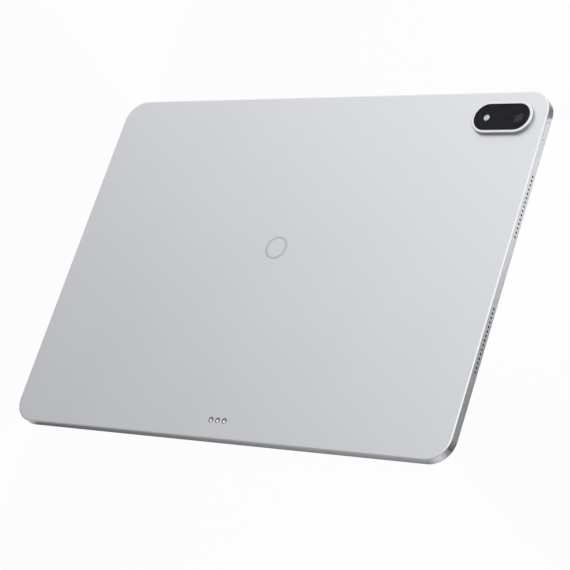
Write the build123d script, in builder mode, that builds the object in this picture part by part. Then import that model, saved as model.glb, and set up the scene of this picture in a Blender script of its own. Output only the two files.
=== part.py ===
"""Tablet computer: an aluminium shell, its display, and everything that the shell holds.

The tablet lies on its screen. The origin is the centre of the cover glass's outer face, +X runs along the
long side towards the power key, +Y points to the side with the volume key, and +Z comes out of the back.
All sizes are in millimetres.
"""

import os

from build123d import *

os.makedirs("parts", exist_ok=True)

# ---- Shell -------------------------------------------------------------------------------------------
body_length = 289.6
body_width = 209.7
body_thickness = 6.0
corner_radius = 13.2
back_plate = 0.8
side_wall = 1.2
back_edge_radius = 0.75
front_edge_chamfer = 0.2
glass_proud = 0.25  # how far the glass stands in front of the metal rim
fit_gap = 0.05  # between two pieces that are laid or pushed together
part_gap = 0.3  # between pieces that only pass each other

# ---- Moulded inner frame -----------------------------------------------------------------------------
frame_width = 2.4
frame_inner_radius = 9.6
lip_width = 0.35
lip_set_back = 0.12  # the lip's edge, measured from the glass face

# ---- Display -----------------------------------------------------------------------------------------
bezel_ends = 8.4
bezel_sides = 7.4
glass_thickness = 0.55
glass_gap = 0.08
glass_edge_radius = 0.35
mask_thickness = 0.03
tape_thickness = 0.15
tape_width = 1.3
bond_line = 0.1  # clear adhesive between the glass and the cell
cell_thickness = 0.4
cell_border = 1.1
driver_border = 3.0
film_thickness = 0.05
film_gap = 0.01
film_count = 3
guide_thickness = 0.35
tray_sheet = 0.15
led_count = 48
led_size = (2.4, 0.6, 0.3)
led_strip_width = 1.6
driver_board_left = -80.0

# ---- Rear camera and flash ---------------------------------------------------------------------------
camera_end_margin = 7.6  # from the bezel to the end of the body
camera_side_margin = 6.8
window_length = 33.4
window_width = 16.0
window_thickness = 0.5
gasket_thickness = 0.1
bump_height = 1.9
bezel_rim = 1.5
bezel_edge_radius = 0.45
bezel_flange = 1.0
bezel_seat = 0.9  # the shelf that the window lies on
eye_inset = 7.25  # from the window's ends to the lens and the flash
camera_size = 8.6
barrel_diameter = 6.2
lens_opening = 6.6
lens_glass_diameter = 4.5
flash_diameter = 3.4

# ---- Side features -----------------------------------------------------------------------------------
side_feature_height = 2.8
grille_centre = 37.9
grille_pitch = 2.5
grille_count = 15
grille_hole = 1.3
mic_hole = 0.9
mic_spots = (22.0, -76.0)

key_height = 2.0
key_proud = 0.3
key_clearance = 0.12
key_flange = 0.35
key_flange_overhang = 0.9  # along the key
key_flange_rise = 0.5  # across the key
key_nub = 0.35
power_key_length = 10.6
power_key_from_corner = 22.5
volume_key_length = 24.0
volume_key_from_corner = 36.0
volume_flange_set_back = 0.32  # room for the rocker's ends to swing outwards
volume_switch_spacing = 14.0
dome_gap = 0.02
dome_height = 0.28
dome_diameter = 2.2
switch_size = (3.2, 2.4, 0.7)
bracket_sheet = 0.3
flex_sheet = 0.1

usb_opening = (8.34, 2.56)
usb_wall = 0.3
usb_set_back = 0.2
usb_tongue_width = 6.69
usb_tongue_thickness = 0.7
usb_seal_wall = 0.4

# ---- Back features -----------------------------------------------------------------------------------
contact_pitch = 4.5
contact_from_side = 10.6
contact_diameter = 2.4
contact_recess = 0.25
collar_width = 0.3
dock_magnet_spots = (-58.0, -42.0, -26.0, 26.0, 42.0, 58.0)
emblem_height = 8.9  # above the middle of the back
emblem_diameter = 14.0
emblem_width = 1.3
emblem_depth = 0.2

# ---- Speakers ----------------------------------------------------------------------------------------
speaker_end_margin = 2.2  # from the nozzle to the box's ends
speaker_depth = 21.2
speaker_back_gap = 0.09
speaker_wall = 0.6
driver_length = 28.0
driver_depth = 12.4
driver_gap = 0.3
diaphragm_thickness = 0.15
coil_size = (15.0, 6.4)
coil_wire = 0.5
coil_height = 0.65
surround_width = 1.3
yoke_size = (22.0, 10.0)
nozzle_height = 1.9
nozzle_wall = 0.3
lug_size = 4.2
lug_thickness = 0.6

# ---- Boards, battery and small parts -----------------------------------------------------------------
board_thickness = 0.7
board_width = 31.0
board_standoff = 0.3
small_board = 0.6
shield_height = 1.3
shield_sheet = 0.15
spreader_thickness = 0.3
battery_gap = 2.0
battery_swell = 0.29  # left free in front of the cells
battery_terrace = 6.0
service_strip = 34.0  # along the bottom side, for the dock and the display's cables
upper_strip = 41.0  # along the top side, for the front camera, keys and camera
cable_lane = 6.4  # beside the battery
cable_width = 4.4
screw_diameter = 1.1
screw_hole = 1.2
screw_head = 2.4
screw_head_height = 0.4
boss_diameter = 3.4
screw_depth = 0.45  # how far a screw reaches into the back plate
coax_diameter = 0.8
antenna_sheet = 0.15

# ---- Places that follow from those sizes -------------------------------------------------------------
half_length = body_length / 2
half_width = body_width / 2
cavity_top = body_thickness - back_plate
wall_x = half_length - side_wall
wall_y = half_width - side_wall
frame_x = wall_x - frame_width
frame_y = wall_y - frame_width

ledge_height = glass_thickness + tape_thickness
screen_x = half_length - bezel_ends
screen_y = half_width - bezel_sides
glass_inset = side_wall + lip_width + glass_gap
cell_x = screen_x + cell_border
cell_top = screen_y + cell_border
cell_bottom = -screen_y - driver_border
cell_front = glass_thickness + bond_line
cell_back = cell_front + cell_thickness
films_front = cell_back + film_gap
guide_front = films_front + film_count * (film_thickness + film_gap)
guide_back = guide_front + guide_thickness
tray_front = guide_back + film_thickness + 2 * film_gap
display_back = tray_front + tray_sheet
tray_x = cell_x + tray_sheet
tray_top = cell_top + tray_sheet
tray_bottom = -screen_y - cell_border - tray_sheet

bezel_length = window_length + 2 * bezel_rim
bezel_width = window_width + 2 * bezel_rim
camera = (
    half_length - camera_end_margin - bezel_length / 2,
    half_width - camera_side_margin - bezel_width / 2,
)
lens = (camera[0] + window_length / 2 - eye_inset, camera[1])
flash = (camera[0] - window_length / 2 + eye_inset, camera[1])
bump_top = body_thickness + bump_height
window_top = bump_top - 0.15
window_back = window_top - window_thickness
gasket_back = window_back - gasket_thickness

power_key_y = half_width - power_key_from_corner
volume_key_x = half_length - volume_key_from_corner
flange_face = wall_x - fit_gap  # the key flange's outer face
contacts_y = -half_width + contact_from_side

speaker_outer = frame_x - 0.2
speaker_inner = speaker_outer - speaker_depth
speaker_front = display_back + 0.2
speaker_back = cavity_top - speaker_back_gap
grille_half = (grille_count - 1) * grille_pitch / 2 + grille_hole / 2
nozzle_half = grille_half + 0.6 + nozzle_wall
speaker_length = 2 * (nozzle_half + speaker_end_margin)

board_right = speaker_inner - 1.6
board_left = board_right - board_width
board_back = cavity_top - board_standoff
board_front = board_back - board_thickness
board_top = camera[1] - bezel_width / 2 - bezel_flange - 1.0
board_bottom = -half_width + 29.0

connector_face = board_front - 0.85  # where the flat cables meet the board's connectors
cable_z = (connector_face - flex_sheet, connector_face)
cable_level = connector_face - flex_sheet / 2

battery_right = board_left - 2.5
battery_left = -speaker_inner + cable_lane
battery_cell_length = (battery_right - battery_left - battery_gap) / 2
battery_bottom = -half_width + service_strip
battery_top = half_width - upper_strip - battery_terrace
battery_back = cavity_top - 0.1
battery_front = display_back + battery_swell

right_wall = Plane(origin=(wall_x, 0, 0), x_dir=(0, 1, 0), z_dir=(1, 0, 0))
left_wall = Plane(origin=(-wall_x, 0, 0), x_dir=(0, -1, 0), z_dir=(-1, 0, 0))
top_wall = Plane(origin=(0, wall_y, 0), x_dir=(-1, 0, 0), z_dir=(0, 1, 0))

# The board's screws, and those of the four speakers and of the socket's board.
board_middle = (board_top + board_bottom) / 2
board_screws = [
    (board_left + 3.0, board_top - 3.0),
    (board_right - 3.0, board_top - 3.0),
    (board_left + 3.0, board_middle),
    (board_right - 3.0, board_middle),
    (board_left + 3.0, board_bottom + 3.0),
    (board_right - 3.0, board_bottom + 3.0),
]
lug_x = speaker_inner + lug_size / 2
lug_reach = (speaker_length - lug_size) / 2
speaker_screws = [
    (end * lug_x, side * (grille_centre + step * lug_reach))
    for end in (-1, 1)
    for side in (-1, 1)
    for step in (-1, 1)
]
usb_board_x = (-tray_x + 0.2, -tray_x + 17.0)
usb_board_half = grille_centre - speaker_length / 2 - 4.15
usb_screws = [(usb_board_x[1] - 3.0, side * (usb_board_half - 3.5)) for side in (-1, 1)]
lug_back = speaker_front + 1.6
lug_front = lug_back - lug_thickness


# ---- Small helpers that draw in the part being built -------------------------------------------------
def span(centre, size):
    """The low and high coordinates of something of that size about a centre."""
    return centre - size / 2, centre + size / 2


def block(x, y, z, mode=Mode.ADD):
    """A rectangular block between pairs of coordinates."""
    with Locations(((x[0] + x[1]) / 2, (y[0] + y[1]) / 2, (z[0] + z[1]) / 2)):
        Box(x[1] - x[0], y[1] - y[0], z[1] - z[0], mode=mode)


def plate(x, y, z, radius, mode=Mode.ADD):
    """A flat plate with rounded corners between pairs of coordinates."""
    with BuildSketch(Plane.XY.offset(z[0])) as outline:
        with Locations(((x[0] + x[1]) / 2, (y[0] + y[1]) / 2)):
            RectangleRounded(x[1] - x[0], y[1] - y[0], radius)
    extrude(outline.sketch, amount=z[1] - z[0], mode=mode)


def body_outline(inset, z, mode=Mode.ADD):
    """A plate with the tablet's own outline, brought in by an inset."""
    reach_x = half_length - inset
    reach_y = half_width - inset
    plate((-reach_x, reach_x), (-reach_y, reach_y), z, corner_radius - inset, mode)


def pill(centre, length, width, z, mode=Mode.ADD):
    """A plate with two round ends, lying along X."""
    with BuildSketch(Plane.XY.offset(z[0])) as outline:
        with Locations(centre):
            SlotOverall(length, width)
    extrude(outline.sketch, amount=z[1] - z[0], mode=mode)


def disc(centre, diameter, z, mode=Mode.ADD):
    """An upright cylinder between two heights."""
    with Locations((centre[0], centre[1], (z[0] + z[1]) / 2)):
        Cylinder(diameter / 2, z[1] - z[0], mode=mode)


def wall_pill(wall, centre, length, height, reach, mode=Mode.ADD):
    """A pill drawn on a side wall, from one distance outside the wall's inner face to another."""
    with BuildSketch(wall.offset(reach[0])) as outline:
        with Locations(centre):
            SlotOverall(length, height)
    extrude(outline.sketch, amount=reach[1] - reach[0], mode=mode)


def ribbon(plane, path, sheet, width):
    """A thin band that follows a path drawn on a plane, standing up from it by its width."""
    with BuildSketch(plane) as profile:
        with BuildLine():
            Polyline(*path)
        trace(line_width=sheet)
    extrude(profile.sketch, amount=width)


def mirrored(end, low, high):
    """A pair of coordinates at the +X end, or the same pair at the -X end."""
    return (low, high) if end > 0 else (-high, -low)


def save(piece, label):
    """Names a finished piece and writes its file."""
    piece.part.label = label
    export_step(piece.part, f"parts/{label}.step")


# ---- Rear housing: one machined aluminium tray --------------------------------------------------------
through_wall = (-0.5, side_wall + 0.5)
usb_outer = (usb_opening[0] + 2 * usb_wall, usb_opening[1] + 2 * usb_wall)
collar_diameter = contact_diameter + 2 * collar_width
contact_spots = [(-contact_pitch, contacts_y), (0, contacts_y), (contact_pitch, contacts_y)]

with BuildPart() as rear_housing:
    body_outline(0, (glass_proud, body_thickness))
    fillet(rear_housing.edges().group_by(Axis.Z)[-1], back_edge_radius)
    chamfer(rear_housing.edges().group_by(Axis.Z)[0], front_edge_chamfer)
    body_outline(side_wall, (glass_proud, cavity_top), Mode.SUBTRACT)
    # Ribs that locate the battery cells.
    for rib_x in (battery_left - 0.9, battery_right + 0.9):
        block(span(rib_x, 0.8), (battery_bottom, battery_top), (cavity_top - 0.8, cavity_top))
    for rib_y in (battery_bottom - 0.9, battery_top + battery_terrace + 0.9):
        block((battery_left, battery_right), span(rib_y, 0.8), (cavity_top - 0.8, cavity_top))
    # Screw bosses, tall ones under the speakers' lugs.
    for spot in board_screws + usb_screws:
        disc(spot, boss_diameter, (board_back, cavity_top))
        disc(spot, screw_hole, (board_back, cavity_top + screw_depth), Mode.SUBTRACT)
    for spot in speaker_screws:
        disc(spot, boss_diameter, (lug_back, cavity_top))
        disc(spot, screw_hole, (lug_back, cavity_top + screw_depth), Mode.SUBTRACT)
    # Four rows of sound holes, two in each end wall.
    for wall in (right_wall, left_wall):
        with BuildSketch(wall.offset(through_wall[0])) as sound_holes:
            with Locations((-grille_centre, side_feature_height), (grille_centre, side_feature_height)):
                with GridLocations(grille_pitch, 1, grille_count, 1):
                    Circle(grille_hole / 2)
        extrude(sound_holes.sketch, amount=through_wall[1] - through_wall[0], mode=Mode.SUBTRACT)
    wall_pill(
        left_wall,
        (0, side_feature_height),
        usb_outer[0] + 2 * fit_gap,
        usb_outer[1] + 2 * fit_gap,
        through_wall,
        Mode.SUBTRACT,
    )
    wall_pill(
        right_wall,
        (power_key_y, side_feature_height),
        power_key_length + 2 * key_clearance,
        key_height + 2 * key_clearance,
        through_wall,
        Mode.SUBTRACT,
    )
    wall_pill(
        top_wall,
        (-volume_key_x, side_feature_height),
        volume_key_length + 2 * key_clearance,
        key_height + 2 * key_clearance,
        through_wall,
        Mode.SUBTRACT,
    )
    with BuildSketch(top_wall.offset(through_wall[0])) as mic_holes:
        with Locations(*[(-spot, side_feature_height) for spot in mic_spots]):
            Circle(mic_hole / 2)
    extrude(mic_holes.sketch, amount=through_wall[1] - through_wall[0], mode=Mode.SUBTRACT)
    # Openings in the back for the camera and the dock contacts, and the emblem's groove.
    back_through = (cavity_top - 0.5, body_thickness + 0.5)
    pill(camera, bezel_length + 2 * fit_gap, bezel_width + 2 * fit_gap, back_through, Mode.SUBTRACT)
    for spot in contact_spots:
        disc(spot, collar_diameter + 2 * fit_gap, back_through, Mode.SUBTRACT)
    with BuildSketch(Plane.XY.offset(body_thickness - emblem_depth)) as groove:
        with Locations((0, emblem_height)):
            Circle(emblem_diameter / 2)
            Circle(emblem_diameter / 2 - emblem_width, mode=Mode.SUBTRACT)
    extrude(groove.sketch, amount=emblem_depth + 0.5, mode=Mode.SUBTRACT)
save(rear_housing, "rear_housing")

# A plain polished ring, let into the back.
with BuildPart() as back_emblem:
    with BuildSketch(Plane.XY.offset(body_thickness - emblem_depth)) as ring:
        with Locations((0, emblem_height)):
            Circle(emblem_diameter / 2 - fit_gap / 2)
            Circle(emblem_diameter / 2 - emblem_width + fit_gap / 2, mode=Mode.SUBTRACT)
    extrude(amount=emblem_depth)
save(back_emblem, "back_emblem")

# ---- Inner frame: polymer moulded inside the walls, with the glass's ledge and lip ---------------------
key_pocket = (ledge_height + 0.3, cavity_top)
power_pocket = span(power_key_y, power_key_length + 2 * key_flange_overhang + 3.0)
volume_pocket = span(volume_key_x, volume_key_length + 2 * key_flange_overhang + 3.0)
nozzle_z = span(side_feature_height, nozzle_height)
front_camera_size = 4.4
front_camera_x = 0.0
front_camera_y = wall_y - 0.3 - front_camera_size / 2
pen_centre = -42.0
pen_length = 34.0
pen_pocket_z = (ledge_height + 0.6, cavity_top - 0.4)
mic_size = (3.5, 1.0)
mic_z = (side_feature_height - 1.3, cable_z[1] + 0.6)
seal_size = (usb_outer[0] + 2 * usb_seal_wall, usb_outer[1] + 2 * usb_seal_wall)
magnet_spots = [pen_centre + step * (pen_length / 2 + 5.0) for step in (-1, 1)]
magnet_size = (7.0, 1.8, 3.4)

with BuildPart() as inner_frame:
    body_outline(side_wall, (ledge_height, cavity_top))
    frame_z = (ledge_height, cavity_top)
    plate((-frame_x, frame_x), (-frame_y, frame_y), frame_z, frame_inner_radius, Mode.SUBTRACT)
    body_outline(side_wall, (lip_set_back, ledge_height))
    body_outline(side_wall + lip_width, (lip_set_back, ledge_height), Mode.SUBTRACT)
    across_right = (frame_x - 1, wall_x + 1)
    across_left = (-wall_x - 1, -frame_x + 1)
    for across in (across_right, across_left):
        for side in (-1, 1):
            block(
                across,
                span(side * grille_centre, 2 * nozzle_half + 2 * fit_gap),
                (nozzle_z[0] - fit_gap, nozzle_z[1] + fit_gap),
                Mode.SUBTRACT,
            )
    block(across_right, power_pocket, key_pocket, Mode.SUBTRACT)
    block(volume_pocket, (frame_y - 1, wall_y + 1), key_pocket, Mode.SUBTRACT)
    block(
        across_left,
        span(0, seal_size[0] + 2 * fit_gap),
        (ledge_height + 0.1, cavity_top),
        Mode.SUBTRACT,
    )
    block(
        span(front_camera_x, front_camera_size + 0.4),
        (frame_y - 1, front_camera_y + front_camera_size / 2 + 0.1),
        (ledge_height - 1, cavity_top - 0.2),
        Mode.SUBTRACT,
    )
    block(span(pen_centre, pen_length + 0.4), (frame_y - 1, wall_y + 1), pen_pocket_z, Mode.SUBTRACT)
    for spot in magnet_spots:
        block(
            span(spot, magnet_size[0] + 0.2),
            (wall_y - magnet_size[1] - 0.1, wall_y + 1),
            span(side_feature_height, magnet_size[2] + 0.2),
            Mode.SUBTRACT,
        )
    for spot in mic_spots:
        block(
            span(spot, mic_size[0] + 1.2),
            (frame_y - 1, wall_y + 1),
            (mic_z[0] - 0.2, mic_z[1] + 0.2),
            Mode.SUBTRACT,
        )
save(inner_frame, "inner_frame")

# ---- Camera bezel, window and gasket ------------------------------------------------------------------
seat_length = window_length - 2 * bezel_seat
seat_width = window_width - 2 * bezel_seat
flange_back = cavity_top - fit_gap

with BuildPart() as camera_bezel:
    pill(camera, bezel_length, bezel_width, (flange_back - 0.45, bump_top))
    fillet(camera_bezel.edges().group_by(Axis.Z)[-1], bezel_edge_radius)
    pill(
        camera,
        bezel_length + 2 * bezel_flange,
        bezel_width + 2 * bezel_flange,
        (flange_back - 0.45, flange_back),
    )
    pill(
        camera,
        window_length + 2 * fit_gap,
        window_width + 2 * fit_gap,
        (gasket_back, bump_top + 1),
        Mode.SUBTRACT,
    )
    pill(camera, seat_length, seat_width, (flange_back - 1, gasket_back), Mode.SUBTRACT)
save(camera_bezel, "camera_bezel")

with BuildPart() as camera_window:
    pill(camera, window_length, window_width, (window_back, window_top))
    chamfer(camera_window.edges().group_by(Axis.Z)[-1], 0.08)
save(camera_window, "camera_window")

with BuildPart() as camera_window_gasket:
    pill(camera, window_length, window_width, (gasket_back, window_back))
    disc(lens, lens_opening, (gasket_back - 1, window_back + 1), Mode.SUBTRACT)
    disc(flash, flash_diameter + 2 * fit_gap, (gasket_back - 1, window_back + 1), Mode.SUBTRACT)
save(camera_window_gasket, "camera_window_gasket")

# ---- Display stack, from the glass inwards ------------------------------------------------------------
sensor_hole = 1.2
light_sensor = (front_camera_x + 9.0, (tray_top + frame_y) / 2)
camera_hole = 2.6

with BuildPart() as cover_glass:
    body_outline(glass_inset, (0, glass_thickness))
    fillet(cover_glass.edges().group_by(Axis.Z)[0], glass_edge_radius)
save(cover_glass, "cover_glass")

mask_z = (glass_thickness, glass_thickness + mask_thickness)
with BuildPart() as border_mask:
    body_outline(glass_inset + 0.1, mask_z)
    block((-screen_x, screen_x), (-screen_y, screen_y), (mask_z[0] - 1, mask_z[1] + 1), Mode.SUBTRACT)
    disc((front_camera_x, front_camera_y), camera_hole, (mask_z[0] - 1, mask_z[1] + 1), Mode.SUBTRACT)
    disc(light_sensor, sensor_hole, (mask_z[0] - 1, mask_z[1] + 1), Mode.SUBTRACT)
save(border_mask, "border_mask")

tape_z = (mask_z[1], ledge_height)
with BuildPart() as display_adhesive:
    body_outline(glass_inset + 0.15, tape_z)
    body_outline(glass_inset + 0.15 + tape_width, (tape_z[0] - 1, tape_z[1] + 1), Mode.SUBTRACT)
    # The tape keeps clear of the cell's corners, and is left open in front of the front camera.
    block(
        (-cell_x - part_gap, cell_x + part_gap),
        (-screen_y - cell_border - part_gap, cell_top + part_gap),
        (tape_z[0] - 1, tape_z[1] + 1),
        Mode.SUBTRACT,
    )
    block(
        span(front_camera_x, front_camera_size + 2),
        (frame_y - 5, wall_y + 1),
        (tape_z[0] - 1, tape_z[1] + 1),
        Mode.SUBTRACT,
    )
    # The clear bond that fills the space between the glass and the cell.
    block((-screen_x, screen_x), (-screen_y, screen_y), (glass_thickness, cell_front))
    block((-cell_x, cell_x), (-screen_y - cell_border, cell_top), (tape_z[0], cell_front))
save(display_adhesive, "display_adhesive")

with BuildPart() as lcd_cell:
    # The inner glass carries the drivers, so it is longer at the bottom than the outer one.
    outer_glass = (cell_front, cell_front + cell_thickness / 2)
    block((-cell_x, cell_x), (-screen_y - cell_border, cell_top), outer_glass)
    inner_glass = (outer_glass[1], cell_back)
    block((-cell_x, cell_x), (-screen_y - cell_border, cell_top), inner_glass)
    block((-cell_x + 6.0, cell_x - 6.0), (cell_bottom, -screen_y), inner_glass)
save(lcd_cell, "lcd_cell")

film_x = cell_x - 0.4
film_top = cell_top - 0.4
film_bottom = tray_bottom + tray_sheet + 0.3
with BuildPart() as optical_films:
    for layer in range(film_count):
        front = films_front + layer * (film_thickness + film_gap)
        block((-film_x, film_x), (film_bottom, film_top), (front, front + film_thickness))
    reflector_front = guide_back + film_gap
    block((-film_x, film_x), (film_bottom, film_top), (reflector_front, reflector_front + film_thickness))
save(optical_films, "optical_films")

guide_bottom = film_bottom + led_strip_width
with BuildPart() as light_guide:
    block((-film_x, film_x), (guide_bottom, film_top), (guide_front, guide_back))
save(light_guide, "light_guide")

with BuildPart() as backlight_tray:
    block((-tray_x, tray_x), (tray_bottom, tray_top), (cell_back, display_back))
    block(
        (-tray_x + tray_sheet, tray_x - tray_sheet),
        (tray_bottom + tray_sheet, tray_top - tray_sheet),
        (cell_back - 1, tray_front),
        Mode.SUBTRACT,
    )
save(backlight_tray, "backlight_tray")

led_strip_y = guide_bottom - led_strip_width / 2 - 0.05
with BuildPart() as backlight_leds:
    led_pitch = (2 * film_x - 8.0) / led_count
    led_floor = guide_back - 0.05
    block((-film_x + 2, film_x - 2), span(led_strip_y, led_strip_width - 0.1), (led_floor, guide_back))
    led_row_y = guide_bottom - 0.05 - led_size[1] / 2
    with Locations((0, led_row_y, led_floor - led_size[2] / 2)):
        with GridLocations(led_pitch, 1, led_count, 1):
            Box(*led_size)
save(backlight_leds, "backlight_leds")

# The panel's driver board lies on the tray's back, and tapes step round from the cell's ledge to it.
driver_board_x = (driver_board_left, board_right - 3.0)
driver_board_y = (tray_bottom + 0.5, tray_bottom + 7.0)
driver_board_z = (display_back + 0.1, display_back + 0.5)
driver_tapes = 6
driver_tape_width = 16.0
tape_sheet = 0.08
tape_pitch = (driver_board_x[1] - driver_board_x[0] - 24.0) / (driver_tapes - 1)
tape_path = [
    (cell_bottom + 0.1, cell_back + tape_sheet / 2),
    (tray_bottom - 0.1, cell_back + tape_sheet / 2),
    (tray_bottom - 0.1, driver_board_z[0] - tape_sheet / 2),
    (driver_board_y[0] + 0.8, driver_board_z[0] - tape_sheet / 2),
]
with BuildPart() as panel_driver_board:
    block(driver_board_x, driver_board_y, driver_board_z)
    for tape in range(driver_tapes):
        left = driver_board_x[0] + 12.0 + tape * tape_pitch - driver_tape_width / 2
        ribbon(Plane.YZ.offset(left), tape_path, tape_sheet, driver_tape_width)
    for chip in range(9):
        chip_x = driver_board_x[0] + (driver_board_x[1] - driver_board_x[0]) * (chip + 1) / 13
        chip_z = (driver_board_z[1], driver_board_z[1] + 0.5)
        block(span(chip_x, 5.0), span(sum(driver_board_y) / 2, 2.8), chip_z)
save(panel_driver_board, "panel_driver_board")

display_plug = (board_left + 14.8, board_bottom + 9.0)
display_flex_x = span(display_plug[0], 16.0)
with BuildPart() as display_flex:
    flex_path = [
        (driver_board_y[1] - 2.0, driver_board_z[1] + flex_sheet / 2),
        (driver_board_y[1] + 8.0, driver_board_z[1] + flex_sheet / 2),
        (board_bottom - 2.0, cable_level),
        (display_plug[1] + 1.0, cable_level),
    ]
    ribbon(Plane.YZ.offset(display_flex_x[0]), flex_path, flex_sheet, display_flex_x[1] - display_flex_x[0])
save(display_flex, "display_flex")

# ---- Main board with its parts, shields and heat spreader ---------------------------------------------
with BuildPart() as main_board:
    plate((board_left, board_right), (board_bottom, board_top), (board_front, board_back), 1.5)
    for spot in board_screws:
        disc(spot, screw_hole, (board_front - 1, board_back + 1), Mode.SUBTRACT)
save(main_board, "main_board")

shield_x = (board_left + 1.5, board_right - 1.5)
shield_front = board_front - shield_height
power_plug = (board_right - 3.7, grille_centre + speaker_length / 2 + 1.9)
upper_shield_y = (board_middle + 3.5, power_plug[1] - 7.0)
lower_shield_y = (board_bottom + 18.0, board_middle - 3.5)
upper_plug = (board_left + 3.8, board_top - 10.0)
battery_plug = (board_left + 4.3, board_top - 16.5)
camera_plug = (lens[0] - 16.45, power_plug[1] + 4.5)
flash_plug = (flash[0] - 5.05, camera_plug[1])
dock_plug = (board_right - 6.1, board_bottom + 9.5)
link_plug = (board_left + 3.8, board_bottom + 9.5)
volume_plug = (board_left + 10.3, board_top - 6.0)
plug_z = (connector_face, board_front)
key_flex_z = span(side_feature_height, 1.6)
with BuildPart() as board_components:
    for spot, size in (
        (upper_plug, (3.6, 3.0)),
        (battery_plug, (4.0, 3.4)),
        (camera_plug, (4.6, 4.0)),
        (flash_plug, (3.0, 3.0)),
        (display_plug, (14.0, 2.4)),
        (link_plug, (3.6, 4.0)),
    ):
        block(span(spot[0], size[0]), span(spot[1], size[1]), plug_z)
    block(span(dock_plug[0], 2.8), span(dock_plug[1], 3.0), (board_front - 0.3, board_front))
    for spot in (power_plug, volume_plug):
        block(span(spot[0], 3.0), span(spot[1], 2.6), (key_flex_z[0], board_front))
    # Under the upper shield: processor, memory and power chips. Under the lower one: storage and radio.
    for spot, size in (
        ((15.3, 36.4), (15.0, 15.0)),
        ((5.8, 20.4), (6.0, 8.0)),
        ((15.8, 18.4), (8.0, 10.0)),
        ((25.3, 19.4), (5.0, 5.0)),
        ((25.3, 11.4), (4.0, 4.0)),
        ((11.8, 8.9), (9.0, 4.0)),
        ((13.8, -15.6), (13.0, 11.5)),
        ((13.8, -34.6), (9.0, 9.0)),
        ((25.3, -30.6), (5.0, 6.0)),
        ((5.8, -49.6), (5.0, 5.0)),
        ((18.8, -50.6), (10.0, 7.0)),
    ):
        chip_x = span(board_left + spot[0], size[0])
        chip_y = span(board_middle + spot[1], size[1])
        block(chip_x, chip_y, (board_front - 0.8, board_front))
    small_parts = [(board_left + 15.3, board_middle + 45.9), (board_left + 14.3, board_middle - 25.1)]
    with Locations(*[(spot[0], spot[1], board_front - 0.2) for spot in small_parts]):
        with GridLocations(1.6, 1.4, 12, 2):
            Box(1.0, 0.5, 0.4)
save(board_components, "board_components")

with BuildPart() as shield_cans:
    for shield_y in (upper_shield_y, lower_shield_y):
        block(shield_x, shield_y, (shield_front, board_front))
        block(
            (shield_x[0] + shield_sheet, shield_x[1] - shield_sheet),
            (shield_y[0] + shield_sheet, shield_y[1] - shield_sheet),
            (shield_front + shield_sheet, board_front + 1),
            Mode.SUBTRACT,
        )
save(shield_cans, "shield_cans")

with BuildPart() as heat_spreader:
    spreader_y = (lower_shield_y[0], upper_shield_y[1])
    plate(shield_x, spreader_y, (shield_front - spreader_thickness, shield_front), 1.0)
save(heat_spreader, "heat_spreader")

with BuildPart() as housing_screws:
    screw_end = cavity_top + screw_depth - 0.05
    for spot in board_screws:
        disc(spot, screw_head, (board_front - screw_head_height, board_front))
        disc(spot, screw_diameter, (board_front, screw_end))
    for spot in usb_screws:
        disc(spot, screw_head, (board_back - small_board - screw_head_height, board_back - small_board))
        disc(spot, screw_diameter, (board_back - small_board, screw_end))
    for spot in speaker_screws:
        disc(spot, screw_head, (lug_front - screw_head_height, lug_front))
        disc(spot, screw_diameter, (lug_front, screw_end))
save(housing_screws, "housing_screws")

# ---- Battery: two pouch cells and the board along their terraces --------------------------------------
battery_z = (battery_front, battery_back)
with BuildPart() as battery_cell_left:
    left_cell_x = (battery_left, battery_left + battery_cell_length)
    plate(left_cell_x, (battery_bottom, battery_top), battery_z, 1.5)
    fillet(battery_cell_left.edges().group_by(Axis.Z)[0], 0.8)
save(battery_cell_left, "battery_cell_left")

with BuildPart() as battery_cell_right:
    right_cell_x = (battery_right - battery_cell_length, battery_right)
    plate(right_cell_x, (battery_bottom, battery_top), battery_z, 1.5)
    fillet(battery_cell_right.edges().group_by(Axis.Z)[0], 0.8)
save(battery_cell_right, "battery_cell_right")

battery_board_y = (battery_top + 0.9, battery_top + battery_terrace - 0.4)
battery_board_z = (connector_face, connector_face + small_board)
with BuildPart() as battery_board:
    block((battery_left + 4.0, battery_right - 4.0), battery_board_y, battery_board_z)
    tab_y = (battery_top, battery_board_y[0] + 2.0)
    for cell_x_span in (left_cell_x, right_cell_x):
        for third in (0.35, 0.65):
            tab_x = cell_x_span[0] + third * battery_cell_length
            block(span(tab_x, 6.0), tab_y, (battery_board_z[1], battery_board_z[1] + 0.1))
    tail_y = span(battery_plug[1], 3.0)
    block((battery_right - 12.0, battery_plug[0] + 1.5), tail_y, cable_z)
save(battery_board, "battery_board")

# ---- USB-C socket, in the middle of the -X wall -------------------------------------------------------
usb_spot = (0, side_feature_height)
usb_mouth = side_wall - usb_set_back
usb_rear = tray_x + 0.1 - wall_x  # its inner end stops at the edge of the display's tray
with BuildPart() as usb_shell:
    wall_pill(left_wall, usb_spot, *usb_outer, (usb_rear, usb_mouth))
    wall_pill(left_wall, usb_spot, *usb_opening, (usb_rear - 1, usb_mouth + 1), Mode.SUBTRACT)
save(usb_shell, "usb_shell")

usb_board_z = (board_back - small_board, board_back)
with BuildPart() as usb_tongue:
    tongue_x = (-wall_x - usb_mouth + 0.7, -wall_x - usb_rear - 0.5)
    block(tongue_x, span(0, usb_tongue_width), span(side_feature_height, usb_tongue_thickness))
    filler = (usb_opening[0] - 0.04, usb_opening[1] - 0.04)
    wall_pill(left_wall, usb_spot, *filler, (usb_rear, usb_rear + 1.0))
    block((-wall_x - usb_rear, -wall_x - usb_rear + 2.6), span(0, 6.8), (display_back + 0.3, usb_board_z[0]))
save(usb_tongue, "usb_tongue")

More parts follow.
